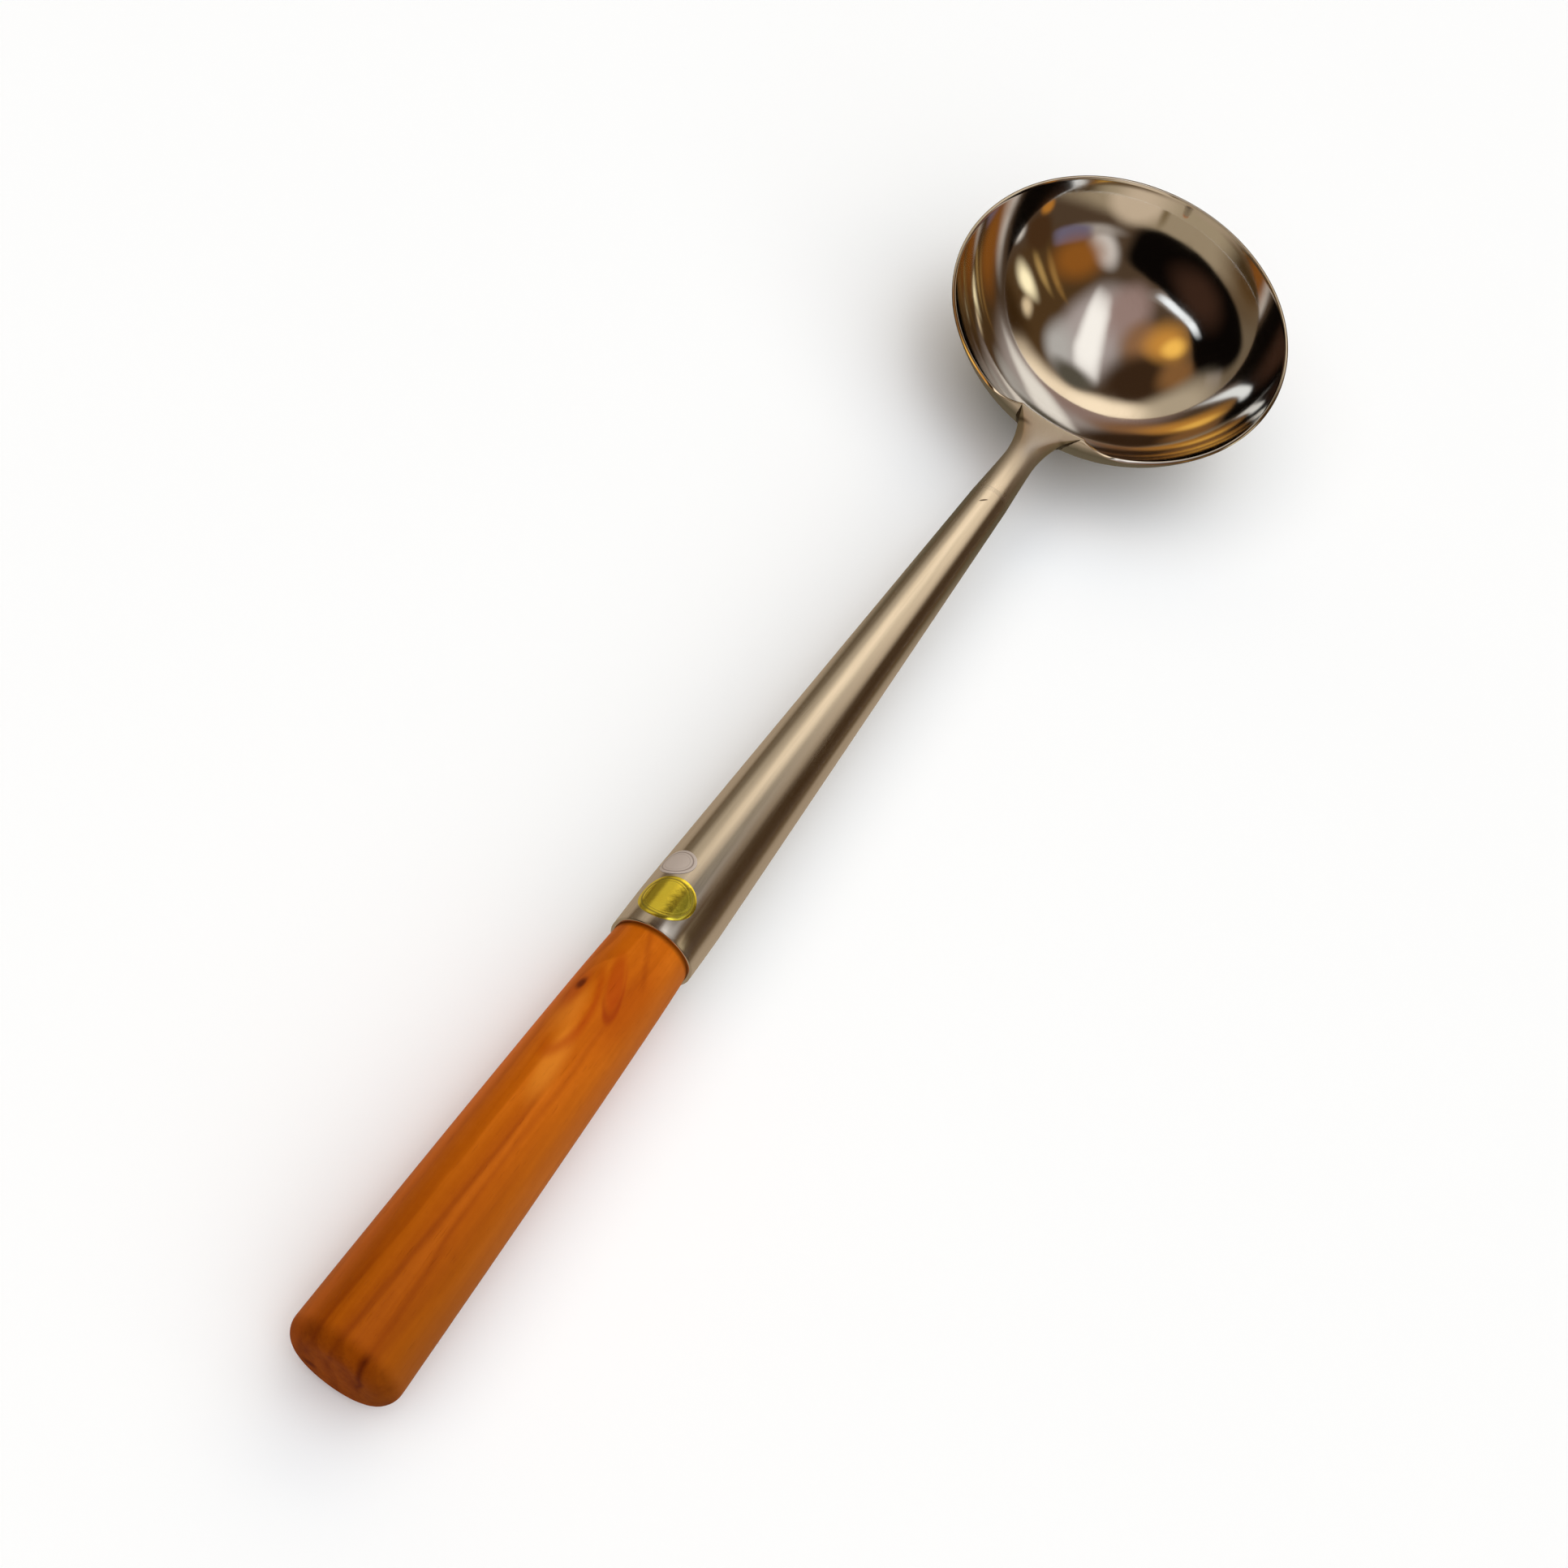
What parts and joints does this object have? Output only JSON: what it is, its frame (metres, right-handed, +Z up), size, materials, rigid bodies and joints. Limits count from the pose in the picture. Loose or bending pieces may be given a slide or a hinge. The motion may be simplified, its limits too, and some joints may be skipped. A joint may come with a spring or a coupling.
{
  "type": "wok ladle",
  "caption": "Round polished steel wok ladle with a raised neck, a tapered hollow shank and a turned wooden handle, for scooping and tossing hot food.",
  "frame": {"origin": "on the table under the middle of the ladle's length, where it lies on its bowl and on the butt of its handle", "axes": "+X along the ladle from the bowl to the butt of the handle, +Y to the right of a person who holds the handle, +Z up out of the open bowl"},
  "size_m": [0.4708, 0.115, 0.0504],
  "materials": {
    "bowl_steel": "polished",
    "shank_steel": "satin",
    "weld_steel": "satin",
    "handle_wood": "satin",
    "nail_steel": "satin",
    "gold_film": "gloss",
    "white_film": "gloss"
  },
  "bodies": {
    "root": {"bowl": "bowl_steel", "neck": "shank_steel", "bowl_weld": "weld_steel", "neck_weld": "weld_steel", "shank": "shank_steel", "seam_weld": "weld_steel", "handle": "handle_wood", "nail": "nail_steel", "gold_label": "gold_film", "white_label": "white_film"}
  },
  "joints": []
}
